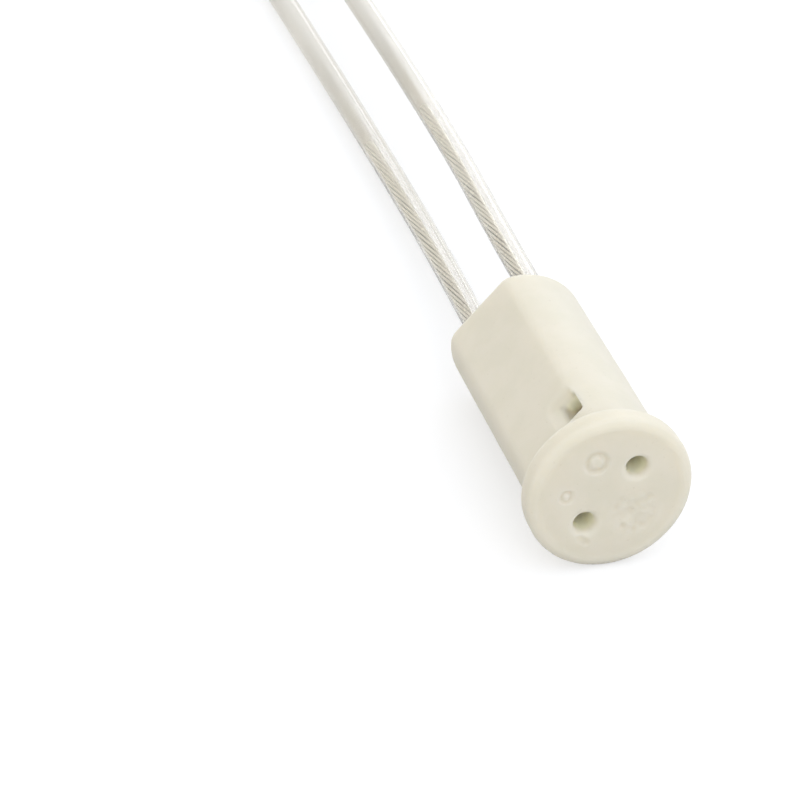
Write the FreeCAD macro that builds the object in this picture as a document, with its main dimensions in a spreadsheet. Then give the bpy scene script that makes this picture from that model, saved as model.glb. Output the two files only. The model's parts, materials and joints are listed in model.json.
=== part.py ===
import FreeCAD, Part
import math
import os

import Sketcher

# Ceramic bi-pin lamp holder, millimetres.
# The holder's own frame has its origin at the centre of the face that the lamp plugs into.
# Z is the depth behind that face, towards the leads, X is the line through the two pin holes,
# and Y is square to the two flats of the shank.

Vector = FreeCAD.Vector
Rotation = FreeCAD.Rotation
Placement = FreeCAD.Placement

SIZES = [
    ("pin_pitch", 6.35, "distance between the two pins of the lamp"),
    ("body_length", 25.0, "face to the back end"),
    ("flange_overhang", 1.05, "how far the flange stands out past the shank's round sides"),
    ("flange_thickness", 2.2, "face to the back of the flange"),
    ("face_round", 1.1, "rounding round the face"),
    ("rim_chamfer", 0.15, "small chamfer round the back of the flange"),
    ("outer_wall", 0.91, "shank wall outside a chamber's corner, at the flange"),
    ("flat_cut", 1.07, "how deep each flat lies inside the shank's round"),
    ("draft_angle", 0.6, "draft of the pressed shank, in degrees"),
    ("corner_round", 1.4, "soft edge between a flat and a round side"),
    ("back_round", 0.45, "rounding round the back end"),
    ("bore_radius", 0.9, "pin hole"),
    ("bore_chamfer", 0.3, "chamfer round the mouth of a pin hole"),
    ("front_wall", 3.0, "face to the front of the contact chambers"),
    ("chamber_width", 3.1, "contact chamber along the pin line"),
    ("chamber_height", 3.5, "contact chamber from flat to flat"),
    ("chamber_round", 0.3, "rounded corners of a chamber"),
    ("window_setback", 2.4, "flange to the front of a latch window"),
    ("window_length", 2.5, "latch window along the shank"),
    ("window_inset", 0.7, "near side of a window inside the near side of its chamber"),
    ("window_lean", 0.75, "how far the near side leans out towards the flat"),
    ("window_over", 0.05, "far side of a window past the edge of the flat"),
    ("sheet", 0.3, "contact sheet"),
    ("contact_slack", 0.1, "gap between a contact and its chamber"),
    ("lip_gap", 1.5, "front of a chamber to the front lips of the springs"),
    ("lip_clearance", 0.3, "lip to the line of the pin hole's wall"),
    ("lip_length", 2.1, "lips to the narrowest place between the springs"),
    ("pinch_opening", 0.84, "free gap there, less than the lamp's pin"),
    ("spring_length", 3.8, "narrowest place to the root of the springs"),
    ("floor_length", 2.2, "root of the springs to the end of the floor"),
    ("latch_depth", 0.6, "how far the latch tongue stands out into its window"),
    ("latch_gap", 0.25, "tip of the tongue to the end wall of the window"),
    ("latch_side_gap", 0.125, "tongue to each side of the window"),
    ("latch_end_length", 1.05, "flatter end of the tongue, behind its bend"),
    ("latch_end_rise", 0.35, "how far that end still rises"),
    ("neck_width", 1.1, "narrow neck between the floor and the crimp"),
    ("neck_length", 1.3, "sloping part of the neck"),
    ("crimp_length", 3.4, "crimp barrel"),
    ("crimp_gap", 0.01, "crimp barrel to the strands"),
    ("crimp_seam", 0.12, "open seam of the barrel"),
    ("conductor_radius", 0.575, "bundle of bare strands"),
    ("conductor_front", 0.2, "how far the strands stand in front of the barrel"),
    ("insulation_radius", 1.05, "lead over its insulation"),
    ("insulation_gap", 0.02, "strands to the inside of the insulation"),
    ("insulation_front", 0.3, "barrel to the cut end of the insulation"),
    ("strip_length", 7.0, "bare strands at the free end"),
    ("exit_run", 5.0, "back end to the first point of a lead's free route"),
    ("rest_turn", 48.5, "how far the pin line rises from level as the holder lies, in degrees"),
]

# Places that follow from those sizes.
AXIS = "sizes.pin_pitch / 2"
CHAMBER_NEAR = "(sizes.pin_pitch / 2 - sizes.chamber_width / 2)"
CHAMBER_FAR = "(sizes.pin_pitch / 2 + sizes.chamber_width / 2)"
SHANK_RADIUS = f"(hypot({CHAMBER_FAR}; sizes.chamber_height / 2) + sizes.outer_wall)"
FLANGE_RADIUS = f"({SHANK_RADIUS} + sizes.flange_overhang)"
FLAT_OFFSET = f"({SHANK_RADIUS} - sizes.flat_cut)"
FLAT_EDGE = f"sqrt(pow({SHANK_RADIUS}; 2) - pow({FLAT_OFFSET}; 2))"
SHANK_LENGTH = "(sizes.body_length - sizes.flange_thickness)"
WINDOW_NEAR = f"({CHAMBER_NEAR} + sizes.window_inset)"
WINDOW_FAR = f"({FLAT_EDGE} + sizes.window_over)"
WINDOW_START = "(sizes.flange_thickness + sizes.window_setback)"
WINDOW_END = f"({WINDOW_START} + sizes.window_length)"
CONTACT_WIDTH = "(sizes.chamber_width - 2 * sizes.contact_slack)"
CONTACT_HEIGHT = "(sizes.chamber_height - 2 * sizes.contact_slack)"
CONTACT_NEAR = f"({CHAMBER_NEAR} + sizes.contact_slack)"
CONTACT_FAR = f"({CHAMBER_FAR} - sizes.contact_slack)"
LIP_HEIGHT = "(sizes.bore_radius + sizes.lip_clearance)"
LIP_DEPTH = "(sizes.front_wall + sizes.lip_gap)"
PINCH_DEPTH = f"({LIP_DEPTH} + sizes.lip_length)"
ROOT_DEPTH = f"({PINCH_DEPTH} + sizes.spring_length)"
FLOOR_END = f"({ROOT_DEPTH} + sizes.floor_length)"
NECK_END = f"({FLOOR_END} + sizes.neck_length)"
CRIMP_START = f"({NECK_END} + sizes.sheet)"
BARREL_INSIDE = "(sizes.conductor_radius + sizes.crimp_gap)"
BARREL_OUTSIDE = f"({BARREL_INSIDE} + sizes.sheet)"
LATCH_HEIGHT = "(sizes.chamber_height / 2 + sizes.latch_depth)"
LATCH_END = f"({WINDOW_END} - sizes.latch_gap)"

# Free route of each lead behind the holder, on the surface that the holder lies on.
# X and Y run along and behind the holder, and the third number is the height of the lead's centre.
LEFT_ROUTE = [
    (-1.25, 45.0, 1.35),
    (-4.3, 98.5, 1.1),
    (-6.4, 151.5, 1.1),
]
RIGHT_ROUTE = [
    (3.6, 44.5, 4.5),
    (1.85, 97.0, 1.1),
    (6.2, 148.0, 1.1),
]

doc = FreeCAD.newDocument("lamp_holder")
sheet = doc.addObject("Spreadsheet::Sheet", "sizes")
for row, (alias, number, meaning) in enumerate(SIZES, start=1):
    sheet.set("A%d" % row, alias)
    sheet.set("B%d" % row, str(number))
    sheet.set("C%d" % row, meaning)
    sheet.setAlias("B%d" % row, alias)
doc.recompute()


def value(expression):
    """The number that an expression on the sheet comes to."""
    found = sheet.evalExpression(expression)
    return float(getattr(found, "Value", found))


def origin_plane(body, role):
    """One of a body's own origin planes or axes, found by its role."""
    return [item for item in body.Origin.OriginFeatures if item.Role == role][0]


def sketch_at_depth(body, name, depth=None):
    """An empty sketch square to the holder's axis, at a depth given as an expression."""
    sketch = body.newObject("Sketcher::SketchObject", name)
    sketch.AttachmentSupport = [(origin_plane(body, "XY_Plane"), "")]
    sketch.MapMode = "FlatFace"
    if depth:
        sketch.setExpression("AttachmentOffset.Base.z", depth)
    return sketch


def bind(sketch, kind, *references, to):
    """A dimension of a sketch, bound to an expression on the sheet."""
    index = sketch.addConstraint(Sketcher.Constraint(kind, *references, value(to)))
    sketch.setExpression("Constraints[%d]" % index, to)


def chain(sketch, points, closed=False):
    """Straight edges through points whose two coordinates are expressions on the sheet."""
    places = [Vector(value(across), value(along), 0) for across, along in points]
    ends = places[1:] + places[:1] if closed else places[1:]
    edges = [sketch.addGeometry(Part.LineSegment(a, b)) for a, b in zip(places, ends)]
    joints = list(zip(edges, edges[1:]))
    corners = [(edge, 1) for edge in edges]
    if closed:
        joints.append((edges[-1], edges[0]))
    else:
        corners.append((edges[-1], 2))
    for edge, following in joints:
        sketch.addConstraint(Sketcher.Constraint("Coincident", edge, 2, following, 1))
    for (edge, end), (across, along) in zip(corners, points):
        bind(sketch, "DistanceX", -1, 1, edge, end, to=across)
        bind(sketch, "DistanceY", -1, 1, edge, end, to=along)


def circle(sketch, radius, across=None):
    """A circle on the holder's axis, or beside it on the pin line."""
    middle = value(across) if across else 0
    index = sketch.addGeometry(Part.Circle(Vector(middle, 0, 0), Vector(0, 0, 1), value(radius)))
    if across:
        sketch.addConstraint(Sketcher.Constraint("PointOnObject", index, 3, -1))
        bind(sketch, "DistanceX", -1, 1, index, 3, to=across)
    else:
        sketch.addConstraint(Sketcher.Constraint("Coincident", index, 3, -1, 1))
    bind(sketch, "Radius", index, to=radius)


def shank_outline(sketch):
    """Two round sides joined by two flats."""
    offset = value(FLAT_OFFSET)
    half = value(FLAT_EDGE)
    angle = math.atan2(offset, half)
    ring = Part.Circle(Vector(0, 0, 0), Vector(0, 0, 1), value(SHANK_RADIUS))
    right = sketch.addGeometry(Part.ArcOfCircle(ring, -angle, angle))
    top = sketch.addGeometry(Part.LineSegment(Vector(half, offset, 0), Vector(-half, offset, 0)))
    left = sketch.addGeometry(Part.ArcOfCircle(ring, math.pi - angle, math.pi + angle))
    bottom = sketch.addGeometry(Part.LineSegment(Vector(-half, -offset, 0), Vector(half, -offset, 0)))
    for edge, following in ((right, top), (top, left), (left, bottom), (bottom, right)):
        sketch.addConstraint(Sketcher.Constraint("Coincident", edge, 2, following, 1))
    for side in (right, left):
        sketch.addConstraint(Sketcher.Constraint("Coincident", side, 3, -1, 1))
    for flat in (top, bottom):
        sketch.addConstraint(Sketcher.Constraint("Horizontal", flat))
    bind(sketch, "Radius", right, to=SHANK_RADIUS)
    bind(sketch, "DistanceY", -1, 1, top, 1, to=FLAT_OFFSET)
    bind(sketch, "DistanceY", bottom, 1, -1, 1, to=FLAT_OFFSET)


def edges_where(feature, test):
    """Names of a feature's edges that pass a test."""
    return ["Edge%d" % number for number, edge in enumerate(feature.Shape.Edges, start=1) if test(edge)]


def dressed(body, kind, name, base, test, size):
    """A fillet or a chamfer on the edges that pass a test, its size bound to the sheet."""
    edges = edges_where(base, test)
    if not edges:
        raise RuntimeError("no edges for " + name)
    feature = body.newObject("PartDesign::" + kind, name)
    feature.Base = (base, edges)
    feature.setExpression("Radius" if kind == "Fillet" else "Size", size)
    doc.recompute()
    return feature


def pad(body, name, sketch, length, taper=None):
    """A pad along the depth."""
    feature = body.newObject("PartDesign::Pad", name)
    feature.Profile = sketch
    feature.setExpression("Length", length)
    if taper:
        feature.setExpression("TaperAngle", taper)
    doc.recompute()
    return feature


def pocket(body, name, sketch, length, towards_back):
    """A pocket from its sketch, checked by the volume that it takes away."""
    before = body.Shape.Volume
    feature = body.newObject("PartDesign::Pocket", name)
    feature.Profile = sketch
    feature.setExpression("Length", length)
    feature.Reversed = towards_back
    doc.recompute()
    if body.Shape.Volume > before - 0.1:
        raise RuntimeError(name + " cuts nothing")
    return feature


def make_ceramic_body():
    """One pressed and fired piece: a flange, a drafted shank, and two circuits half a turn apart."""
    back = value("sizes.body_length")
    seat = value("sizes.flange_thickness")
    reach = value(FLANGE_RADIUS)
    near = 1e-4
    body = doc.addObject("PartDesign::Body", "ceramic_body")
    body.Label = "ceramic_body"
    flange_circle = sketch_at_depth(body, "flange_circle")
    circle(flange_circle, FLANGE_RADIUS)
    pad(body, "flange", flange_circle, "sizes.flange_thickness")
    section = sketch_at_depth(body, "shank_section", "sizes.flange_thickness")
    shank_outline(section)
    shank = pad(body, "shank", section, SHANK_LENGTH, "-sizes.draft_angle")

    def is_corner(edge):
        long_way = edge.BoundBox.ZLength > 0.9 * (back - seat)
        return long_way and abs(edge.CenterOfMass.y) > near

    def is_back_end(edge):
        return edge.BoundBox.ZMin > back - near

    def is_face_edge(edge):
        return edge.BoundBox.ZMax < near

    def is_rim(edge):
        return abs(edge.CenterOfMass.z - seat) < near and edge.BoundBox.XMax > reach - 1e-3

    soft_corners = dressed(body, "Fillet", "soft_corners", shank, is_corner, "sizes.corner_round")
    soft_back = dressed(body, "Fillet", "soft_back", soft_corners, is_back_end, "sizes.back_round")
    soft_face = dressed(body, "Fillet", "soft_face", soft_back, is_face_edge, "sizes.face_round")
    broken_rim = dressed(body, "Chamfer", "broken_rim", soft_face, is_rim, "sizes.rim_chamfer")
    body.Tip = broken_rim

    bore_circle = sketch_at_depth(body, "bore_circle")
    circle(bore_circle, "sizes.bore_radius", AXIS)
    bore = pocket(body, "pin_bore", bore_circle, "sizes.front_wall + sizes.chamber_width", True)

    def is_bore_mouth(edge):
        return edge.BoundBox.ZMax < near and edge.BoundBox.XMin > 0

    mouth = dressed(body, "Chamfer", "bore_mouth", bore, is_bore_mouth, "sizes.bore_chamfer")

    chamber_outline = sketch_at_depth(body, "chamber_outline", "sizes.body_length")
    low = "-sizes.chamber_height / 2"
    high = "sizes.chamber_height / 2"
    corners = [(CHAMBER_NEAR, low), (CHAMBER_FAR, low), (CHAMBER_FAR, high), (CHAMBER_NEAR, high)]
    chain(chamber_outline, corners, closed=True)
    chamber = pocket(body, "chamber", chamber_outline, "sizes.body_length - sizes.front_wall", False)

    def is_chamber_corner(edge):
        inside = abs(edge.CenterOfMass.y) < value(high) + near
        return inside and edge.BoundBox.ZLength > 0.9 * (back - value("sizes.front_wall"))

    soft_chamber = dressed(body, "Fillet", "soft_chamber", chamber, is_chamber_corner, "sizes.chamber_round")

    window_outline = sketch_at_depth(body, "window_outline", WINDOW_START)
    inner = "-sizes.chamber_height / 2 + sizes.contact_slack"
    outer = f"-{SHANK_RADIUS}"
    corners = [(WINDOW_NEAR, inner), (WINDOW_FAR, inner), (WINDOW_FAR, outer),
               (WINDOW_NEAR + " - sizes.window_lean", outer)]
    chain(window_outline, corners, closed=True)
    window = pocket(body, "latch_window", window_outline, "sizes.window_length", True)

    pattern = body.newObject("PartDesign::PolarPattern", "second_circuit")
    pattern.Originals = [bore, mouth, chamber, soft_chamber, window]
    pattern.Axis = (origin_plane(body, "Z_Axis"), [""])
    pattern.Angle = 360
    pattern.Occurrences = 2
    body.Tip = pattern
    doc.recompute()
    return body


def strip(name, plane, points, turned_over, width, centred=False):
    """A strip of contact sheet: a chain of bends on one side of the sheet, thickened and drawn out."""
    outline = doc.addObject("Sketcher::SketchObject", name + "_bends")
    outline.Placement = plane
    chain(outline, points)
    thick = doc.addObject("Part::Offset2D", name + "_section")
    thick.Source = outline
    thick.Mode = "Skin"
    thick.Join = "Arc"
    thick.Fill = True
    thick.setExpression("Value", "sizes.sheet" if turned_over else "-sizes.sheet")
    drawn = doc.addObject("Part::Extrusion", name)
    drawn.Base = thick
    drawn.DirMode = "Normal"
    drawn.Solid = True
    drawn.Symmetric = centred
    drawn.setExpression("LengthFwd", width)
    doc.recompute()
    return drawn, outline


def make_barrel(name):
    """The crimp barrel round the strands, with its seam towards the middle of the holder."""
    tubes = []
    for label, radius in (("outside", BARREL_OUTSIDE), ("inside", BARREL_INSIDE)):
        tube = doc.addObject("Part::Cylinder", name + "_" + label)
        tube.setExpression("Radius", radius)
        tube.setExpression("Height", "sizes.crimp_length")
        tube.setExpression("Placement.Base.x", AXIS)
        tube.setExpression("Placement.Base.z", CRIMP_START)
        tubes.append(tube)
    ring = doc.addObject("Part::Cut", name + "_ring")
    ring.Base, ring.Tool = tubes
    seam = doc.addObject("Part::Box", name + "_seam")
    seam.setExpression("Length", f"{BARREL_OUTSIDE} + sizes.sheet")
    seam.setExpression("Width", "sizes.crimp_seam")
    seam.setExpression("Height", "sizes.crimp_length + 2 * sizes.sheet")
    seam.setExpression("Placement.Base.x", f"{AXIS} - {BARREL_OUTSIDE} - sizes.sheet")
    seam.setExpression("Placement.Base.y", "-sizes.crimp_seam / 2")
    seam.setExpression("Placement.Base.z", f"{CRIMP_START} - sizes.sheet")
    barrel = doc.addObject("Part::Cut", name)
    barrel.Base = ring
    barrel.Tool = seam
    return barrel


def make_contact(name):
    """One folded contact: two springs that pinch the pin, a latch tongue, a floor, a neck and a crimp."""
    side_view = Placement(Vector(), Rotation(Vector(0, 1, 0), Vector(0, 0, 1), Vector(1, 0, 0)))
    plan_view = Placement(Vector(), Rotation(Vector(1, 0, 0), Vector(0, 0, 1), Vector(0, -1, 0)))
    wall = f"({CONTACT_HEIGHT} / 2 - sizes.sheet)"
    pieces = []
    for label, sign in (("upper", ""), ("lower", "-")):
        bends = [
            (sign + wall, FLOOR_END),
            (sign + wall, ROOT_DEPTH),
            (sign + "sizes.pinch_opening / 2", PINCH_DEPTH),
            (sign + LIP_HEIGHT, LIP_DEPTH),
        ]
        spring, outline = strip(name + "_" + label + "_spring", side_view, bends, sign == "-", CONTACT_WIDTH)
        outline.setExpression("Placement.Base.x", CONTACT_NEAR)
        pieces.append(spring)

    bends = [
        ("-" + LIP_HEIGHT, LIP_DEPTH),
        (f"-({LATCH_HEIGHT} - sizes.latch_end_rise)", f"{LATCH_END} - sizes.latch_end_length"),
        ("-" + LATCH_HEIGHT, LATCH_END),
    ]
    tongue_width = f"{WINDOW_FAR} - {WINDOW_NEAR} - 2 * sizes.latch_side_gap"
    tongue, outline = strip(name + "_tongue", side_view, bends, True, tongue_width)
    outline.setExpression("Placement.Base.x", f"{WINDOW_NEAR} + sizes.latch_side_gap")
    pieces.append(tongue)

    floor = doc.addObject("Part::Box", name + "_floor")
    floor.setExpression("Length", "sizes.sheet")
    floor.setExpression("Width", CONTACT_HEIGHT)
    floor.setExpression("Height", "sizes.floor_length")
    floor.setExpression("Placement.Base.x", f"{CONTACT_FAR} - sizes.sheet")
    floor.setExpression("Placement.Base.y", f"-{CONTACT_HEIGHT} / 2")
    floor.setExpression("Placement.Base.z", ROOT_DEPTH)
    pieces.append(floor)

    barrel_side = f"{AXIS} + {BARREL_OUTSIDE}"
    bends = [
        (CONTACT_FAR, f"{FLOOR_END} - sizes.sheet"),
        (CONTACT_FAR, FLOOR_END),
        (barrel_side, NECK_END),
        (barrel_side, f"{CRIMP_START} + sizes.sheet"),
    ]
    pieces.append(strip(name + "_neck", plan_view, bends, True, "sizes.neck_width", centred=True)[0])
    pieces.append(make_barrel(name + "_barrel"))

    contact = doc.addObject("Part::MultiFuse", name)
    contact.Shapes = pieces
    contact.Label = name
    doc.recompute()
    return contact


def resting_tilt():
    """How far the holder leans when its flange and its back end both touch the surface, in degrees.

    The flange touches with the front edge of its chamfer, and the back end with its rounded edge.
    """
    back_round = value("sizes.back_round")
    back_radius = value(SHANK_RADIUS) - math.tan(math.radians(value("sizes.draft_angle"))) * value(SHANK_LENGTH)
    rise = value(FLANGE_RADIUS) - (back_radius - back_round)
    run = value(SHANK_LENGTH) - back_round + value("sizes.rim_chamfer")
    return math.degrees(math.atan2(rise, run) - math.asin(back_round / math.hypot(rise, run)))


def resting_place(body):
    """The holder's place: lying on its side, face towards -Y, over the middle of its own box."""
    lie_down = Rotation(Vector(1, 0, 0), Vector(0, 0, -1), Vector(0, 1, 0))
    roll = Rotation(Vector(0, 0, 1), -value("sizes.rest_turn"))
    lean = Rotation(Vector(1, 0, 0), -resting_tilt())
    turn = lean.multiply(lie_down).multiply(roll)
    turned = body.Shape.copy()
    turned.Placement = Placement(Vector(), turn)
    box = turned.optimalBoundingBox(False, False)
    return Placement(Vector(-box.Center.x, -box.Center.y, -box.ZMin), turn)


def rounded_route(route, start, stop):
    """Straight runs joined by tangent arcs, each as large as its two runs allow.

    It starts at a place on the route's first run and stops at a place on its last one.
    """
    edges = []
    radii = []
    for before, corner, after in zip(route, route[1:], route[2:]):
        arriving = (corner - before).normalize()
        leaving = (after - corner).normalize()
        half_turn = arriving.getAngle(leaving) / 2
        setback = 0.45 * min((corner - before).Length, (after - corner).Length)
        radius = setback / math.tan(half_turn)
        radii.append(round(radius, 1))
        first = corner - arriving * setback
        last = corner + leaving * setback
        towards_centre = (leaving - arriving).normalize()
        middle = corner + towards_centre * (radius / math.cos(half_turn) - radius)
        edges.append(Part.LineSegment(start, first).toShape())
        edges.append(Part.Arc(first, middle, last).toShape())
        start = last
    edges.append(Part.LineSegment(start, stop).toShape())
    return Part.Wire(edges), radii


def swept(route, start, stop, radius):
    """A round bar along a stretch of a route, its length and the radii of its arcs."""
    wire, radii = rounded_route(route, start, stop)
    first = wire.Edges[0]
    ring = Part.Circle(first.valueAt(first.FirstParameter), first.tangentAt(first.FirstParameter), radius)
    bar = wire.makePipeShell([Part.Wire(ring.toShape())], True, False)
    expected = math.pi * radius ** 2 * wire.Length
    if abs(bar.Volume / expected - 1) > 1e-3:
        raise RuntimeError("swept volume differs from section times length")
    return bar, wire.Length, radii


def make_lead(side, sign, place, free_route):
    """One lead: strands from the crimp to the bare tip, and the insulation round them."""
    across = sign * value(AXIS)

    def on_axis(depth):
        return place.multVec(Vector(across, 0, value(depth)))

    strands_front = on_axis(f"{CRIMP_START} - sizes.conductor_front")
    route = [strands_front, on_axis("sizes.body_length + sizes.exit_run")]
    route += [Vector(*point) for point in free_route]
    strip_back = (route[-2] - route[-1]).normalize() * value("sizes.strip_length")
    insulation_front = on_axis(f"{CRIMP_START} + sizes.crimp_length + sizes.insulation_front")
    insulated = (route, insulation_front, route[-1] + strip_back)
    strands, strands_length, radii = swept(route, route[0], route[-1], value("sizes.conductor_radius"))
    outside, length, radii = swept(*insulated, value("sizes.insulation_radius"))
    hollow = swept(*insulated, value("sizes.conductor_radius + sizes.insulation_gap"))[0]
    print(side, "lead leaves the back at", [round(number, 2) for number in on_axis("sizes.body_length")],
          "insulation", round(length, 1), "strands", round(strands_length, 1), "radii", radii)
    leads = []
    for node, shape in (("lead_conductor_" + side, strands), ("lead_insulation_" + side, outside.cut(hollow))):
        lead = doc.addObject("Part::Feature", node)
        lead.Label = node
        lead.Shape = shape
        leads.append(lead)
    return leads


body = make_ceramic_body()
place = resting_place(body)
half_turn = Placement(Vector(), Rotation(Vector(0, 0, 1), 180))
contact_right = make_contact("contact_right")
contact_left = make_contact("contact_left")
body.Placement = place
contact_right.Placement = place
contact_left.Placement = place.multiply(half_turn)
subparts = [body, contact_right, contact_left]
subparts += make_lead("right", 1, place, RIGHT_ROUTE)
subparts += make_lead("left", -1, place, LEFT_ROUTE)
doc.recompute()

for item in doc.Objects:
    if "Invalid" in item.State or "Error" in item.State:
        raise RuntimeError(item.Label + " did not build")
for subpart in subparts:
    if subpart.Shape.isNull() or not subpart.Shape.isValid():
        raise RuntimeError(subpart.Label + " has no valid shape")
os.makedirs("parts", exist_ok=True)
for subpart in subparts:
    subpart.Shape.exportStep("parts/" + subpart.Label + ".step")
    print(subpart.Label, "solids", len(subpart.Shape.Solids), "volume", round(subpart.Shape.Volume, 2))
print("flange radius", round(value(FLANGE_RADIUS), 3), "shank radius", round(value(SHANK_RADIUS), 3),
      "flats", round(value(FLAT_OFFSET), 3), "tilt", round(resting_tilt(), 3))
print("face centre", [round(number, 4) for number in place.Base])
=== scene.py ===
"""Ceramic bi-pin lamp holder with two clear-insulated leads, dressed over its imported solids. Metres."""
import itertools
import json
import math

import bmesh
import bpy
import numpy as np
from mathutils import Matrix, Vector


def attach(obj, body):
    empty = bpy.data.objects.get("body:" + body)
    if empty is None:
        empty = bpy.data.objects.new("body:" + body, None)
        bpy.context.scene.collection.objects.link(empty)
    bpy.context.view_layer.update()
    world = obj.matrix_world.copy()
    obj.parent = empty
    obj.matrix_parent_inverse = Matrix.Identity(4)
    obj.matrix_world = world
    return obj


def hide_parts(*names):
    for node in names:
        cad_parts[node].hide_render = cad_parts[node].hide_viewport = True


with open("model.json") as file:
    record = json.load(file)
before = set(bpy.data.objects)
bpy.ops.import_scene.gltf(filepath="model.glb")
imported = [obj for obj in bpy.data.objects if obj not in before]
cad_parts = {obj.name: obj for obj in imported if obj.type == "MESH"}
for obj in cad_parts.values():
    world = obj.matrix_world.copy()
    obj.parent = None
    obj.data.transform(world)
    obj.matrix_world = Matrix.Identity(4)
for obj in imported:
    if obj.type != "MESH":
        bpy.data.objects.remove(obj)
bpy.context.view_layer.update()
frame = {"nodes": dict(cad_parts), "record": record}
MM = 0.001

# The holder's own frame: face centre, depth towards the leads, pin line, and square to the flats.
MOUNTS = {mount["name"]: mount for mount in frame["record"]["mounts"]}
FACE = np.array(MOUNTS["lamp_face"]["pos_m"])
DEPTH = -np.array(MOUNTS["lamp_face"]["axis"])
PIN_RIGHT = np.array(MOUNTS["pin_socket_right"]["pos_m"])
PIN_LEFT = np.array(MOUNTS["pin_socket_left"]["pos_m"])
PIN_PITCH = float(np.linalg.norm(PIN_RIGHT - PIN_LEFT))
PINS = (PIN_RIGHT - PIN_LEFT) / PIN_PITCH
FLAT = np.cross(DEPTH, PINS)
BORE_RADIUS = MOUNTS["pin_socket_right"]["dims"]["r_mm"] * MM

# A latch window in millimetres: its near and far side, counted from the middle, its front and its end.
WINDOW_NEAR = 1.75
WINDOW_FAR = 3.45
WINDOW_FRONT = 4.6
WINDOW_END = 7.1

# Camera.
CAMERA_AZIMUTH = math.radians(-19.69)
CAMERA_ELEVATION = math.radians(36.36)
CAMERA_ROLL = math.radians(4.084)
CAMERA_AIM = Vector((-15.12, -2.78, 12.16)) * MM
CAMERA_DISTANCE = 714.0 * MM
CAMERA_CLIP = 10.0 * MM
CAMERA_LENS = 400.0
CAMERA_SENSOR = 36.0

# Light. A lamp's figures are azimuth and elevation in degrees, distance, width, height, power, colour.
ROOM_LEVEL = 0.972
ROOM_COLOUR = (1.0, 0.98, 0.94, 1)
BRIGHT_GAIN = 0.19
BRIGHT_COLOUR = (0.85, 0.90, 1.0, 1)
BRIGHT_SIDE = Vector((0.30, -0.42, 0.86)).normalized()
FRONT_COLOUR = (1.0, 0.94, 0.84)
LAMPS = {
    "key": (100, 48, 0.9, 0.35, 0.35, 0.3, ROOM_COLOUR[:3]),
    "strip": (147, 21, 1.0, 0.28, 0.50, 1.0, BRIGHT_COLOUR[:3]),
    "front": (12, 24, 1.0, 0.50, 0.50, 1.4, FRONT_COLOUR),
}
FLOOR_REACH = 3.0
FLOOR_GREY = (0.50, 0.50, 0.50, 1)
FLOOR_GLOW = 0.56

# Leads: depths at which they start and leave the bore's line, and their tubes.
STRANDS_FRONT = 14.0 * MM
INSULATION_FRONT = 17.9 * MM
LEAVING_DEPTH = 30.0 * MM
STRIP_LENGTH = 7.0 * MM
INSULATION_RADIUS = 1.05 * MM
INSULATION_HOLLOW = 0.597 * MM
TUBE_SIDES = 80
TUBE_SPACING = 0.8 * MM
CUT_NARROWS = 0.05 * MM
CUT_ROUNDS_OVER = 0.04 * MM
CORE_ASIDE = -0.24 * MM
CORE_ASIDE_FROM = 5.0 * MM
CORE_ASIDE_TO = 10.0 * MM
BORE = "bore"

# Strands.
STRAND_RADIUS = 0.115 * MM
STRAND_PITCH = 16.5 * MM
OUTER_STRANDS = 12
OUTER_LAY_RADIUS = 0.458 * MM
INNER_STRANDS = 6
INNER_LAY_RADIUS = 0.232 * MM
INNER_TURN = 0.4
STRAND_SIDES = 12
STRAND_SPACING = 0.6 * MM
INNER_LENGTH = 1.3 * STRIP_LENGTH
# How far down between the strands the painted shade is full, and how sharply it grows with depth.
CREVICE_DEPTH = 0.9 * STRAND_RADIUS
CREVICE_SHARPNESS = 1.6
CREVICE = "crevice"

# How a strand wavers along its length, in its lay radius in millimetres and in its turn in radians. Each
# strand is that phase ahead of the one before.
LAY_WAVER = 0.006
LAY_WAVER_LENGTH = 3.1 * MM
LAY_WAVER_PHASE = 2.4
TURN_WAVER = 0.03
TURN_WAVER_LENGTH = 4.3 * MM
TURN_WAVER_PHASE = 1.7

# Free route of each lead, in millimetres, first sideways from the bore's line, then on the floor.
ROUTE_RESOLUTION = 48
LEFT_LEAVING = (0.68, 0.0, 0.0)
LEFT_ROUTE = [
    (-1.25, 45.0, 1.35),
    (-4.3, 98.5, 1.1),
    (-6.4, 151.5, 1.1),
]
RIGHT_LEAVING = (-0.16, 0.0, 0.0)
RIGHT_ROUTE = [
    (3.6, 44.5, 4.5),
    (1.85, 97.0, 1.1),
    (6.2, 148.0, 1.1),
]

# Where the ceramic's colour changes, in its painted glow and painted shade: each pair is where a change
# starts and where it is full, as a radius round a bore's line, a depth, a way across from the middle, or a
# way outwards from it.
HOLE_EDGE = (BORE_RADIUS * 1.02, BORE_RADIUS * 1.2)
HOLE_MOUTH = (0.15 * MM, 0.9 * MM)
FRONT_EDGE = ((WINDOW_FRONT - 0.1) * MM, WINDOW_FRONT * MM)
END_EDGE = (WINDOW_END * MM, (WINDOW_END + 0.6) * MM)
NEAR_EDGE = ((WINDOW_NEAR - 0.6) * MM, WINDOW_NEAR * MM)
FAR_EDGE = (WINDOW_FAR * MM, (WINDOW_FAR + 0.1) * MM)
LIP_ACROSS = ((WINDOW_NEAR + 0.05) * MM, (WINDOW_NEAR + 0.5) * MM)
BOTTOM_EDGE = (1.0 * MM, 1.6 * MM)
DEEP_OUTWARD = (2.6 * MM, 3.3 * MM)
LIP_OUTWARD = (3.9 * MM, 4.5 * MM)
FLAT_EDGE = (4.55 * MM, 4.90 * MM)

# Where the leads' finish changes, as depths: the tube's bore clouds over, and the strands pale as the
# painted shade between them fades out and they turn less metallic.
CLOUDING = (53.0 * MM, 78.0 * MM)
CLOUDED_SHARE = 0.9
PALING = (34.0 * MM, 62.0 * MM)

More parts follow.
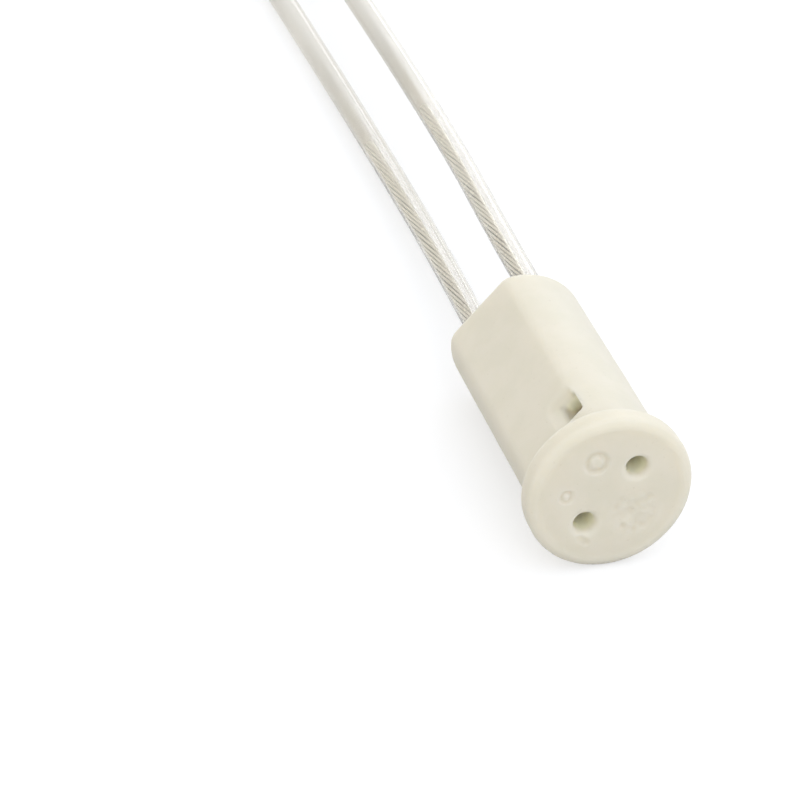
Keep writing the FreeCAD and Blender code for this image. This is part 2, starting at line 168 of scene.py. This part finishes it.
# Colours.
CERAMIC_DARKER = (0.772, 0.728, 0.600, 1)
CERAMIC_LIGHTER = (0.795, 0.746, 0.622, 1)
# Painted glow inside the pin holes and latch windows.
CERAMIC_PAINTED_GLOW = (1.0, 0.95, 0.77, 1)
# Painted shade at the windows' lips and near sides, and darker painted shade deep inside them.
CERAMIC_LIP_PAINTED_SHADE = (0.66, 0.62, 0.50, 1)
CERAMIC_DEEP_PAINTED_SHADE = (0.48, 0.40, 0.27, 1)
CERAMIC_PORES = (0.60, 0.54, 0.42, 1)
NICKEL_DARKER = (0.60, 0.56, 0.47, 1)
NICKEL_LIGHTER = (0.70, 0.66, 0.57, 1)
PLATING_BRIGHT = (1.0, 0.965, 0.88, 1)
PLATING_DULL = (0.92, 0.88, 0.79, 1)
# Between the strands: pale far from the holder, and dark brown painted shade near it.
CREVICE_PALE = (1.0, 0.965, 0.90, 1)
CREVICE_PAINTED_SHADE = (0.04, 0.028, 0.016, 1)
TUBE_FRESH = (0.985, 0.965, 0.915, 1)
TUBE_HANDLED = (0.97, 0.95, 0.895, 1)
MILK_FRESH = (1.0, 0.985, 0.94, 1)
MILK_HANDLED = (1.0, 0.98, 0.93, 1)
TUBE_IOR = 1.34

# The ceramic's even mesh, in millimetres, and how many smoothing passes soften it and wear it down.
VOXEL = 0.157
MERGE_DISTANCE = 0.0001
SOFT_PASSES = 3
WORN_PASSES = 30

# Unevenness of the ceramic, in millimetres: height, cell size and random seed of each noise.
WAVES = ((0.022, 3.4, 3), (0.010, 1.2, 4))

# The slope at a window's near side and end, in millimetres, and the crisp edges at its front and far side.
SLOPE_REACH = 1.3
SLOPE_SINKS = 0.48
SLOPE_INNER = 3.0
SLOPE_STOPS_SHORT = 0.6
CRISP_FRONT_BEFORE = 0.2
CRISP_FRONT_OVER = 0.4
CRISP_SIDE_BEYOND = 0.05
CRISP_SIDE_OVER = 0.5

# Marks of the press tool on the face, in millimetres, placed from its centre in the holder's frame. Each
# has its full depth along its bottom, and rises back to the face over the width of its edge.
RINGS = (
    {"across": 1.57, "square": -3.23, "radius": 0.80, "half_width": 0.10, "edge": 0.24, "depth": 0.17},
    {"across": -2.22, "square": -3.13, "radius": 0.42, "half_width": 0.06, "edge": 0.20, "depth": 0.16},
)
BAR = {
    "across": -4.45, "square": 1.04, "half_length": 0.35, "half_width": 0.15, "edge": 0.25, "depth": 0.12,
}
PATCH = {"across": -0.1, "square": 2.82, "radius": 1.5, "edge": 0.9, "depth": 0.05, "roughness": 0.16}

# The patch's two noises: cell size in millimetres and random seed. The fine one is turned out of line.
PATCH_FINE = (0.32, 7)
PATCH_COARSE = (0.55, 8)
OUT_OF_LINE = np.array([[0.36, 0.48, -0.8], [-0.8, 0.6, 0.0], [0.48, 0.64, 0.6]])

# The flange in millimetres: how deep its face reaches, its fall to the rim, and its fuller shoulder.
FACE_REACHES = 0.25
FACE_ENDS_OVER = 0.3
RIM_FALL = 0.12
RIM_FALL_FROM = 4.1
RIM_FALL_OVER = 2.2
SHOULDER_FULLER = 0.14
SHOULDER_FROM = 5.6
SHOULDER_OVER = 0.5

# A contact's facets are joined within a micrometre, and its shading splits where the sheet folds.
CONTACT_MERGE = 0.001 * MM
FOLD_ANGLE = math.radians(30)


def holder_point(across, square, depth):
    """A point given in the holder's own frame, in the row's frame."""
    return FACE + across * PINS + square * FLAT + depth * DEPTH


def towards(azimuth, elevation):
    """The direction at an azimuth, from the front towards the right, and an elevation, in radians."""
    return Vector((
        math.sin(azimuth) * math.cos(elevation),
        -math.cos(azimuth) * math.cos(elevation),
        math.sin(elevation),
    ))


def new_object(name, data):
    """An object at the origin that carries a mesh, a lamp or a camera."""
    made = bpy.data.objects.new(name, data)
    bpy.context.scene.collection.objects.link(made)
    return made


def place_camera():
    """The camera looks at its aim from an azimuth and an elevation, then rolls about its own axis."""
    back = towards(CAMERA_AZIMUTH, CAMERA_ELEVATION)
    level = Vector((math.cos(CAMERA_AZIMUTH), math.sin(CAMERA_AZIMUTH), 0.0))
    upward = back.cross(level)
    right = math.cos(CAMERA_ROLL) * level + math.sin(CAMERA_ROLL) * upward
    up = back.cross(right)
    data = bpy.data.cameras.new("camera")
    data.lens = CAMERA_LENS
    data.sensor_width = CAMERA_SENSOR
    data.sensor_fit = "HORIZONTAL"
    data.clip_start = CAMERA_CLIP
    camera = new_object("camera", data)
    place = Matrix((right, up, back)).transposed().to_4x4()
    place.translation = CAMERA_AIM + CAMERA_DISTANCE * back
    camera.matrix_world = place
    bpy.context.scene.camera = camera


# Meshes.


def vectors(collection, name):
    """An attribute of mesh elements, as rows of three numbers."""
    found = np.empty(len(collection) * 3)
    collection.foreach_get(name, found)
    return found.reshape(-1, 3)


def smooth_route(points):
    """A quadratic NURBS line through a route, read from Blender's own curve as a fine row of points."""
    curve = bpy.data.curves.new("route", "CURVE")
    curve.dimensions = "3D"
    curve.resolution_u = ROUTE_RESOLUTION
    spline = curve.splines.new("NURBS")
    spline.points.add(len(points) - 1)
    spline.points.foreach_set("co", np.column_stack([points, np.ones(len(points))]).ravel())
    spline.order_u = 3
    spline.use_endpoint_u = True
    holder = bpy.data.objects.new("route", curve)
    line = bpy.data.meshes.new_from_object(holder)
    found = vectors(line.vertices, "co")
    bpy.data.meshes.remove(line)
    bpy.data.objects.remove(holder)
    bpy.data.curves.remove(curve)
    return found


def evenly(path, start, short, spacing):
    """A path from a start to a little short of its end: even points, and their lengths along it."""
    along = np.concatenate([[0.0], np.cumsum(np.linalg.norm(np.diff(path, axis=0), axis=1))])
    stop = along[-1] - short
    places = np.linspace(start, stop, int(round((stop - start) / spacing)) + 1)
    points = np.column_stack([np.interp(places, along, path[:, axis]) for axis in range(3)])
    return points, places


def carried(path):
    """Side and up directions, square to a path that runs mostly level."""
    forward = np.gradient(path, axis=0)
    forward /= np.linalg.norm(forward, axis=1, keepdims=True)
    side = np.cross(forward, [0.0, 0.0, 1.0])
    side /= np.linalg.norm(side, axis=1, keepdims=True)
    return side, np.cross(side, forward)


def grid_faces(rows, columns, first=0, closed_rows=False):
    """Quads of a grid of rows of points, each row a closed ring, and the rows too where they close."""
    row = np.arange(rows if closed_rows else rows - 1)[:, None]
    column = np.arange(columns)[None, :]
    following = (row + 1) % rows
    beside = (column + 1) % columns
    corners = [row * columns + column, following * columns + column,
               following * columns + beside, row * columns + beside]
    return (np.stack(corners, axis=-1).reshape(-1, 4) + first).tolist()


def marked_object(name, points, faces, mark, values):
    """A smooth-shaded object from its points and faces, with a named value on each point."""
    mesh = bpy.data.meshes.new(name)
    mesh.from_pydata(points.tolist(), [], faces)
    mesh.shade_smooth()
    mesh.update()
    mesh.attributes.new(mark, "FLOAT", "POINT").data.foreach_set("value", values)
    return new_object(name, mesh)


def smooth_noise(points, cell, seed):
    """Random values from -1 to 1 on a cubic lattice, blended smoothly between its corners."""
    size = 64
    lattice = np.random.default_rng(seed).uniform(-1, 1, (size, size, size))
    base = np.floor(points / cell).astype(int)
    part = points / cell - base
    part = part * part * (3 - 2 * part)
    total = np.zeros(len(points))
    for corner in itertools.product((0, 1), repeat=3):
        weight = np.prod(np.where(corner, part, 1 - part), axis=1)
        where = (base + corner) % size
        total += weight * lattice[where[:, 0], where[:, 1], where[:, 2]]
    return total


def step(distance, width):
    """A soft step: 1 where a distance is below 0, 0 beyond a width, and smooth between."""
    part = np.clip(distance / width, 0.0, 1.0)
    return 1 - part * part * (3 - 2 * part)


# Shaders.


class Shade:
    """A link in a material's nodes. Arithmetic on it adds Math nodes, and node() adds any other kind."""

    def __init__(self, tree, socket=None):
        self.tree = tree
        self.socket = socket

    def node(self, kind, settings=None, sockets=None, output=0):
        """A node of that kind, with its settings made first, then its sockets. Gives one output."""
        made = self.tree.nodes.new(kind)
        for name, setting in (settings or {}).items():
            setattr(made, name, setting)
        for name, given in (sockets or {}).items():
            if isinstance(given, Shade):
                self.tree.links.new(given.socket, made.inputs[name])
            else:
                made.inputs[name].default_value = given
        return Shade(self.tree, made.outputs[output])

    def maths(self, operation, *values):
        """A Math node on values or links."""
        return self.node("ShaderNodeMath", {"operation": operation}, dict(enumerate(values)))

    def __add__(self, other):
        return self.maths("ADD", self, other)

    __radd__ = __add__

    def __sub__(self, other):
        return self.maths("SUBTRACT", self, other)

    def __rsub__(self, other):
        return self.maths("SUBTRACT", other, self)

    def __mul__(self, other):
        return self.maths("MULTIPLY", self, other)

    __rmul__ = __mul__

    def mixed(self, low, high):
        """Two colours blended by this factor."""
        return self.node("ShaderNodeMix", {"data_type": "RGBA"}, {0: self, 6: low, 7: high}, output=2)

    def between(self, low, high):
        """0 below one value, 1 above another, and smooth between."""
        sockets = {"Value": self, "From Min": low, "From Max": high}
        return self.node("ShaderNodeMapRange", {"interpolation_type": "SMOOTHSTEP"}, sockets)

    def along(self, origin, direction):
        """How far a place lies from a point along a direction."""
        offset = self.node("ShaderNodeVectorMath", {"operation": "SUBTRACT"}, {0: self, 1: tuple(origin)})
        product = {0: offset, 1: tuple(direction)}
        return self.node("ShaderNodeVectorMath", {"operation": "DOT_PRODUCT"}, product, output="Value")

    def noise(self, size, detail=2.0, roughness=0.5):
        """Soft noise from 0 to 1 with features of that size."""
        sockets = {"Vector": self, "Scale": 1 / size, "Detail": detail, "Roughness": roughness}
        return self.node("ShaderNodeTexNoise", None, sockets)


def material(name):
    """A new material, a Shade on its object coordinates, and its surface shader's node."""
    made = bpy.data.materials.new(name)
    made.use_nodes = True
    tree = made.node_tree
    surface = tree.nodes["Principled BSDF"]
    place = Shade(tree).node("ShaderNodeTexCoord", output="Object")
    return made, place, surface


def finish(surface, constants, varied):
    """Sets the surface shader's constant sockets, and links those that change over the surface."""
    for name, value in constants.items():
        surface.inputs[name].default_value = value
    for name, shade in varied.items():
        shade.tree.links.new(shade.socket, surface.inputs[name])


def bumped(height, distance):
    """A normal from a height and the real distance that a height of 1 stands for."""
    return height.node("ShaderNodeBump", None, {"Strength": 1.0, "Distance": distance, "Height": height})


def marked(place, name):
    """The value that a mesh holds on its points under that name."""
    return place.node("ShaderNodeAttribute", {"attribute_name": name}, output="Fac")


def sunk_places(place):
    """Three masks, each 1 inside its places and fading out towards their edges.

    They are the pin holes and latch windows, which carry a painted glow, the lips and near sides of the
    windows, which carry painted shade, and what is deep in those, which carries darker painted shade. The
    left side is the right one after half a turn.
    """
    depth = place.along(FACE, DEPTH)
    along_window = depth.between(*FRONT_EDGE) * (1 - depth.between(*END_EDGE))
    glow_mask = lip_shade = deep = 0.0
    for side in (1.0, -1.0):
        across = place.along(FACE, side * PINS)
        outward = place.along(FACE, -side * FLAT)
        aside = across - PIN_PITCH / 2
        radius = place.maths("SQRT", aside * aside + outward * outward)
        hole = (1 - radius.between(*HOLE_EDGE)) * depth.between(*HOLE_MOUTH)
        across_window = across.between(*NEAR_EDGE) * (1 - across.between(*FAR_EDGE))
        below_flat = outward.between(*BOTTOM_EDGE) * (1 - outward.between(*FLAT_EDGE))
        window = across_window * along_window * below_flat
        # The holes and windows carry the painted glow.
        glow_mask = hole + window + glow_mask
        # The windows' lips and near sides carry painted shade, and their deep parts carry darker painted
        # shade.
        lip_shade = window * (1 - (1 - outward.between(*LIP_OUTWARD)) * across.between(*LIP_ACROSS)) + lip_shade
        deep = window * (1 - outward.between(*DEEP_OUTWARD)) + deep
    return glow_mask, lip_shade, deep


def fired_ceramic():
    """Unglazed steatite: warm white, faintly mottled, fine-grained, with painted glow and shade in
    recesses.
    """
    made, place, surface = material("fired_ceramic")
    mottle = place.noise(2.6 * MM, detail=3.0, roughness=0.55).between(0.35, 0.65)
    grain = place.noise(0.16 * MM, detail=4.0, roughness=0.65)
    pores = place.noise(0.34 * MM).between(0.66, 0.78)
    glow_mask, lip_shade, deep = sunk_places(place)
    # Painted glow in the holes and windows.
    colour = glow_mask.mixed(mottle.mixed(CERAMIC_DARKER, CERAMIC_LIGHTER), CERAMIC_PAINTED_GLOW)
    # Painted shade at the windows' lips and near sides, darker deep inside them.
    colour = deep.mixed(lip_shade.mixed(colour, CERAMIC_LIP_PAINTED_SHADE), CERAMIC_DEEP_PAINTED_SHADE)
    colour = (pores * 0.25).mixed(colour, CERAMIC_PORES)
    height = grain * 0.5 + place.noise(0.8 * MM) - pores * 0.5
    finish(
        surface,
        {"Subsurface Weight": 0.8, "Subsurface Radius": (1.0, 0.97, 0.90), "Subsurface Scale": 1.6 * MM,
         "Specular IOR Level": 0.40},
        {"Base Color": colour, "Roughness": grain * 0.25 + 0.40, "Normal": bumped(height, 0.012 * MM)},
    )
    return made


def bright_nickel():
    """Nickel sheet, drawn along the depth, a little yellow."""
    made, place, surface = material("bright_nickel")
    drawn = place.node("ShaderNodeMapping", None, {"Vector": place, "Scale": (1.0, 0.06, 1.0)})
    streaks = drawn.noise(0.05 * MM, detail=3.0, roughness=0.6)
    colour = streaks.mixed(NICKEL_DARKER, NICKEL_LIGHTER)
    finish(
        surface,
        {"Metallic": 1.0},
        {"Base Color": colour, "Roughness": streaks * 0.2 + 0.22, "Normal": bumped(streaks, 0.003 * MM)},
    )
    return made


def plated_strands():
    """Silvery plated copper, dulled in places, pale far from the holder, painted shade between strands
    near it.
    """
    made, place, surface = material("plated_strands")
    dull = place.noise(1.3 * MM, detail=3.0).between(0.40, 0.70)
    near_holder = 1 - place.along(FACE, DEPTH).between(*PALING)
    # Painted shade between the strands near the holder, fading to pale away from it.
    strand_gap_shade = near_holder.mixed(CREVICE_PALE, CREVICE_PAINTED_SHADE)
    colour = marked(place, CREVICE).mixed(dull.mixed(PLATING_BRIGHT, PLATING_DULL), strand_gap_shade)
    roughness = dull * 0.12 + 0.20
    finish(surface, {}, {"Base Color": colour, "Roughness": roughness, "Metallic": near_holder * 0.55})
    return made


def clear_tube():
    """Clear fluoropolymer, a little dulled by handling, its bore clouded over away from the holder."""
    made, place, surface = material("clear_tube")
    dull = place.noise(6 * MM, detail=3.0).between(0.35, 0.75)
    clouded = place.along(FACE, DEPTH).between(*CLOUDING) * marked(place, BORE) * CLOUDED_SHARE
    finish(
        surface,
        {"Transmission Weight": 0.85, "IOR": TUBE_IOR},
        {"Base Color": dull.mixed(TUBE_FRESH, TUBE_HANDLED), "Roughness": dull * 0.015 + 0.055},
    )
    milk = {"Base Color": dull.mixed(MILK_FRESH, MILK_HANDLED), "Roughness": 0.30, "IOR": TUBE_IOR}
    milky = place.node("ShaderNodeBsdfPrincipled", None, milk)
    clear = Shade(made.node_tree, surface.outputs["BSDF"])
    both = place.node("ShaderNodeMixShader", None, {0: clouded, 1: clear, 2: milky})
    output = made.node_tree.nodes["Material Output"]
    made.node_tree.links.new(both.socket, output.inputs["Surface"])
    return made


# Leads.


def lead_path(sign, leaving, route):
    """The lead's line: along its bore's line inside the holder, out of the back, then its free route."""
    across = sign * PIN_PITCH / 2
    start = holder_point(across, 0.0, STRANDS_FRONT)
    bend = holder_point(across, 0.0, LEAVING_DEPTH) + np.array(leaving) * MM
    return smooth_route(np.vstack([start, bend, np.array(route) * MM]))


def core_line(points, along):
    """The line of strands and bore: the lead's own in the crimp, then a little to one side of it."""
    side, _ = carried(points)
    aside = CORE_ASIDE * (1 - step(along - CORE_ASIDE_FROM, CORE_ASIDE_TO - CORE_ASIDE_FROM))
    return points + aside[:, None] * side


def insulation_tube(name, path):
    """A hollow tube: rings go along the outside, over the cut end, back along the bore and out again.

    A point is its ring's centre, plus the radius times cos(angle) sideways and sin(angle) upwards. The
    first and last rings outside are narrower, and their neighbours lie a little further in.
    """
    points, along = evenly(path, INSULATION_FRONT - STRANDS_FRONT, STRIP_LENGTH, TUBE_SPACING)
    number = len(points)
    there = np.arange(number)
    order = np.concatenate([[0], there, [number - 1], there[::-1]])
    centre = np.vstack([points[:1], points, points[-1:], core_line(points, along)[::-1]])
    side, up = carried(points)
    rounding = np.zeros(len(order))
    rounding[[1, number]] = CUT_ROUNDS_OVER, -CUT_ROUNDS_OVER
    centre = centre + rounding[:, None] * np.cross(up, side)[order]
    radius = np.full(len(order), INSULATION_RADIUS)
    radius[[0, number + 1]] -= CUT_NARROWS
    radius[number + 2:] = INSULATION_HOLLOW
    angle = np.linspace(0, 2 * np.pi, TUBE_SIDES, endpoint=False)[None, :, None]
    ring = np.cos(angle) * side[order][:, None] + np.sin(angle) * up[order][:, None]
    grid = centre[:, None] + radius[:, None, None] * ring
    faces = grid_faces(len(order), TUBE_SIDES, closed_rows=True)
    on_bore = np.repeat(np.arange(len(order)) > number + 1, TUBE_SIDES).astype(float)
    return marked_object(name, grid.reshape(-1, 3), faces, BORE, on_bore), points


def strand_rings(points, along, lay_radius, number, first_turn):
    """Rings of every strand of one layer: a helix of that lay radius round the path, a little uneven.

    A ring's point is the path's, plus the lay radius at the strand's turn, plus the strand's radius at the
    ring's angle, both square to the path. The second result is how far each point lies down between the
    strands, from 0 on the outside to 1.
    """
    points = core_line(points, along)
    side, up = carried(points)
    strand = np.arange(number)[:, None]
    along = along[None, :]
    turn = first_turn + 2 * np.pi * strand / number + 2 * np.pi * along / STRAND_PITCH
    turn = turn + TURN_WAVER * np.sin(along / TURN_WAVER_LENGTH + TURN_WAVER_PHASE * strand)
    reach = lay_radius + np.sin(along / LAY_WAVER_LENGTH + LAY_WAVER_PHASE * strand) * LAY_WAVER * MM
    angle = np.linspace(0, 2 * np.pi, STRAND_SIDES, endpoint=False)
    sideways = (reach * np.cos(turn))[..., None] + STRAND_RADIUS * np.cos(angle)
    upwards = (reach * np.sin(turn))[..., None] + STRAND_RADIUS * np.sin(angle)
    below = OUTER_LAY_RADIUS + STRAND_RADIUS - np.hypot(sideways, upwards)
    rings = points[:, None] + sideways[..., None] * side[:, None] + upwards[..., None] * up[:, None]
    # How far down between the strands each point lies, which the strands' finish turns into painted shade.
    return rings, np.clip(below / CREVICE_DEPTH, 0, 1) ** CREVICE_SHARPNESS


def strand_bundle(name, path):
    """Twelve strands twisted round a layer of six and one more, which show only at the bare end."""
    points, along = evenly(path, 0.0, 0.0, STRAND_SPACING)
    tip, tip_along = evenly(path, along[-1] - INNER_LENGTH, 0.0, STRAND_SPACING)
    layers = [
        strand_rings(points, along, OUTER_LAY_RADIUS, OUTER_STRANDS, 0.0),
        strand_rings(tip, tip_along, INNER_LAY_RADIUS, INNER_STRANDS, INNER_TURN),
        strand_rings(tip, tip_along, 0.0, 1, 0.0),
    ]
    vertices = []
    faces = []
    first = 0
    for layer, _ in layers:
        rows, columns = layer.shape[1:3]
        for strand in layer:
            vertices.append(strand.reshape(-1, 3))
            faces += grid_faces(rows, columns, first)
            faces.append(list(range(first, first + columns)))
            last = first + (rows - 1) * columns
            faces.append(list(range(last + columns - 1, last - 1, -1)))
            first += rows * columns
    crevice = np.concatenate([depth.ravel() for _, depth in layers])
    return marked_object(name, np.vstack(vertices), faces, CREVICE, crevice), points


def make_lead(side, sign, leaving, route, tube_finish, strand_finish):
    """One lead: its clear tube and its strands, each riding with the holder."""
    path = lead_path(sign, leaving, route)
    tube, tube_line = insulation_tube("clear_insulation_" + side, path)
    strands, strand_line = strand_bundle("twisted_strands_" + side, path)
    bundle_radius = OUTER_LAY_RADIUS + STRAND_RADIUS
    details = (
        (tube, tube_line, "lead_insulation_", "clear_insulation", tube_finish, 2 * INSULATION_RADIUS),
        (strands, strand_line, "lead_conductor_", "tinned_strands", strand_finish, 2 * bundle_radius),
    )
    for piece, line, node, slot, finish_made, diameter in details:
        piece.data.materials.append(finish_made)
        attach(piece, "root")
        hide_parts(node + side)


# Ceramic.


def remeshed(node):
    """The CAD node's surface as an even mesh, in millimetres, its edges slightly softened.

    The second result is where the same vertices lie with those edges worn right down.
    """
    source = bmesh.new()
    source.from_mesh(frame["nodes"][node].data)
    bmesh.ops.scale(source, vec=[1 / MM] * 3, verts=source.verts)
    bmesh.ops.remove_doubles(source, verts=source.verts, dist=MERGE_DISTANCE)
    mesh = bpy.data.meshes.new("even")
    source.to_mesh(mesh)
    source.free()
    made = new_object("even", mesh)
    even = made.modifiers.new("even", "REMESH")
    even.mode = "VOXEL"
    even.voxel_size = VOXEL
    soft = made.modifiers.new("soft", "SMOOTH")
    soft.factor = 0.5
    results = []
    for passes in (SOFT_PASSES, WORN_PASSES):
        soft.iterations = passes
        evaluated = made.evaluated_get(bpy.context.evaluated_depsgraph_get())
        results.append(bpy.data.meshes.new_from_object(evaluated))
    softened, worn = results
    worn_places = vectors(worn.vertices, "co")
    bpy.data.objects.remove(made)
    bpy.data.meshes.remove(mesh)
    bpy.data.meshes.remove(worn)
    return softened, worn_places


def face_marks(across, square, roughness):
    """How deep the plain marks of the press tool are on the face, in millimetres, for places in it.

    Two rings, a short bar near the rim, and a patch that came out rough, as the noise given says.
    """
    marks = 0.0
    for ring in RINGS:
        radius = np.hypot(across - ring["across"], square - ring["square"])
        from_ring = np.abs(radius - ring["radius"])
        marks = marks + ring["depth"] * step(from_ring - ring["half_width"], ring["edge"])
    beyond_bar = np.maximum(np.abs(square - BAR["square"]) - BAR["half_length"], 0)
    from_bar = np.hypot(beyond_bar, across - BAR["across"])
    marks = marks + BAR["depth"] * step(from_bar - BAR["half_width"], BAR["edge"])
    from_patch = np.hypot(across - PATCH["across"], square - PATCH["square"]) - PATCH["radius"]
    return marks + step(from_patch, PATCH["edge"]) * (PATCH["depth"] + PATCH["roughness"] * roughness)


def window_slope(across, square, depth):
    """How near each place is to the near side or the end of a latch window, where the tool left a slope.

    1 at those two edges, falling to 0 at the slope's reach from them and down in the chamber, and 0 at the
    crisp front and far side. The left side is the right one after half a turn.
    """
    side = np.where(square < 0, 1.0, -1.0)
    across = across * side
    outward = -square * side
    near = np.hypot(across - WINDOW_NEAR, depth - np.clip(depth, WINDOW_FRONT, WINDOW_END))
    slope_far = WINDOW_FAR - SLOPE_STOPS_SHORT
    end = np.hypot(across - np.clip(across, WINDOW_NEAR, slope_far), depth - WINDOW_END)
    crisp_front = step(depth - WINDOW_FRONT + CRISP_FRONT_BEFORE, CRISP_FRONT_OVER)
    crisp_side = step(WINDOW_FAR + CRISP_SIDE_BEYOND - across, CRISP_SIDE_OVER)
    near_flat = 1 - step(outward - SLOPE_INNER, SLOPE_REACH)
    return step(np.minimum(near, end), SLOPE_REACH) * near_flat * (1 - np.maximum(crisp_front, crisp_side))


def pressing(places, normals, across, square, depth):
    """How far each place moves out along its normal, in millimetres, from pressing and firing.

    The surface waves everywhere. The face is lower by its marks and where it falls to the rim, and the
    shoulder between the face and the rim is fuller, most where it leans half outwards.
    """
    waves = sum(height * smooth_noise(places, cell, seed) for height, cell, seed in WAVES)
    fine = smooth_noise(places @ OUT_OF_LINE, *PATCH_FINE)
    roughness = 0.5 * fine + 0.5 * smooth_noise(places, *PATCH_COARSE)
    forward = np.clip(normals @ -DEPTH, 0, 1)
    on_face = step(depth - FACE_REACHES, FACE_ENDS_OVER) * forward
    radius = np.hypot(across, square)
    rim_fall = RIM_FALL * (1 - step(radius - RIM_FALL_FROM, RIM_FALL_OVER))
    outward = ((normals @ PINS) * across + (normals @ FLAT) * square) / np.maximum(radius, 1.0)
    shoulder = 2 * np.clip(outward, 0, 1) * forward * (1 - step(radius - SHOULDER_FROM, SHOULDER_OVER))
    lower = on_face * (face_marks(across, square, roughness) + rim_fall)
    return waves - lower + SHOULDER_FULLER * shoulder


def pressed_ceramic(finish_made):
    """The ceramic body: its CAD form, worn to a slope at the latch windows and uneven from pressing."""
    mesh, worn_places = remeshed("ceramic_body")
    places = vectors(mesh.vertices, "co")
    normals = vectors(mesh.vertex_normals, "vector")
    local = places - FACE / MM
    across, square, depth = local @ PINS, local @ FLAT, local @ DEPTH
    slope = window_slope(across, square, depth)
    worn = np.clip(2 * slope, 0, 1)[:, None]
    places = worn * worn_places + (1 - worn) * places
    moved = pressing(places, normals, across, square, depth)
    sinking = -SLOPE_SINKS * slope * np.sign(square)
    places = (places + moved[:, None] * normals + sinking[:, None] * FLAT) * MM
    mesh.vertices.foreach_set("co", places.ravel())
    mesh.shade_smooth()
    mesh.update()
    made = new_object("pressed_ceramic", mesh)
    mesh.materials.clear()
    mesh.materials.append(finish_made)
    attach(made, "root")
    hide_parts("ceramic_body")


def dress_contact(node, finish_made):
    """A contact keeps its CAD solid: its facets are joined, split again at folds and shaded smooth."""
    contact = frame["nodes"][node]
    contact.data.materials.clear()
    contact.data.materials.append(finish_made)
    weld = contact.modifiers.new("joined", "WELD")
    weld.merge_threshold = CONTACT_MERGE
    folds = contact.modifiers.new("folds", "EDGE_SPLIT")
    folds.split_angle = FOLD_ANGLE
    contact.data.shade_smooth()


# Surroundings.


def lay_floor():
    """A wide pale floor that takes the soft shadow and shows as white round it."""
    mesh = bpy.data.meshes.new("floor")
    corners = [(x * FLOOR_REACH, y * FLOOR_REACH, 0) for x, y in ((-1, -1), (1, -1), (1, 1), (-1, 1))]
    mesh.from_pydata(corners, [], [(0, 1, 2, 3)])
    floor = new_object("floor", mesh)
    made, place, surface = material("pale_floor")
    seen = place.node("ShaderNodeLightPath", output="Is Camera Ray")
    for rays in ("Is Glossy Ray", "Is Transmission Ray"):
        seen = seen.maths("MAXIMUM", seen, place.node("ShaderNodeLightPath", output=rays))
    finish(
        surface,
        {"Base Color": FLOOR_GREY, "Roughness": 0.9, "Specular IOR Level": 0.1,
         "Emission Strength": FLOOR_GLOW},
        {"Emission Color": seen.mixed((0, 0, 0, 1), (1, 1, 1, 1))},
    )
    mesh.materials.append(made)


def hang_light(name, azimuth, elevation, distance, width, height, power, colour):
    """A soft lamp that looks at the middle of the holder."""
    data = bpy.data.lights.new(name, "AREA")
    data.shape = "RECTANGLE"
    data.size = width
    data.size_y = height
    data.energy = power
    data.color = colour
    lamp = new_object(name, data)
    away = towards(math.radians(azimuth), math.radians(elevation))
    lamp.location = away * distance
    lamp.rotation_euler = away.to_track_quat("Z", "Y").to_euler()


def light_the_scene():
    """A pale room whose light comes from all round, stronger and cooler from above and in front."""
    world = bpy.data.worlds.new("room")
    world.use_nodes = True
    tree = world.node_tree
    background = tree.nodes["Background"]
    direction = Shade(tree).node("ShaderNodeTexCoord", output="Generated")
    bright = direction.along((0.0, 0.0, 0.0), BRIGHT_SIDE).between(0.1, 1.0)
    colour = bright.mixed(ROOM_COLOUR, BRIGHT_COLOUR)
    tree.links.new(colour.socket, background.inputs["Color"])
    tree.links.new((bright * BRIGHT_GAIN + ROOM_LEVEL).socket, background.inputs["Strength"])
    bpy.context.scene.world = world
    for name, figures in LAMPS.items():
        hang_light(name, *figures)


bpy.context.scene.view_settings.view_transform = "Standard"

place_camera()
tube_finish = clear_tube()
strand_finish = plated_strands()
make_lead("left", -1, LEFT_LEAVING, LEFT_ROUTE, tube_finish, strand_finish)
make_lead("right", 1, RIGHT_LEAVING, RIGHT_ROUTE, tube_finish, strand_finish)
pressed_ceramic(fired_ceramic())
nickel = bright_nickel()
dress_contact("contact_left", nickel)
dress_contact("contact_right", nickel)
lay_floor()
light_the_scene()
